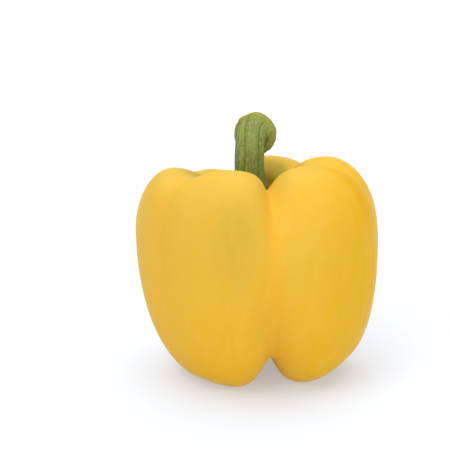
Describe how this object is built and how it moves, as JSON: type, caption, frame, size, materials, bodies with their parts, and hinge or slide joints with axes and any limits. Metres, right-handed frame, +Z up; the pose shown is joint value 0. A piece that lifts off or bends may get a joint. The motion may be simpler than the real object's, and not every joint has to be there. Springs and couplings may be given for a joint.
{
  "type": "bell pepper",
  "caption": "Blocky yellow bell pepper with rounded lobes, a deep front groove and a bent green stem set in a well at the top; it stands on its lobes.",
  "frame": {"origin": "centre of the bounding box in X and Y, on the surface that the pod stands on", "axes": "+Z up through the stem; -Y is the side with the deepest groove, and the stem's cut end faces +Y"},
  "size_m": [0.0878, 0.0858, 0.0942],
  "materials": {
    "pod_skin": "waxy, smooth, soft sheen",
    "stem_green": "fibrous, ribbed, dull"
  },
  "bodies": {
    "root": {"pod": "pod_skin", "stem_and_calyx": "stem_green"}
  },
  "joints": []
}
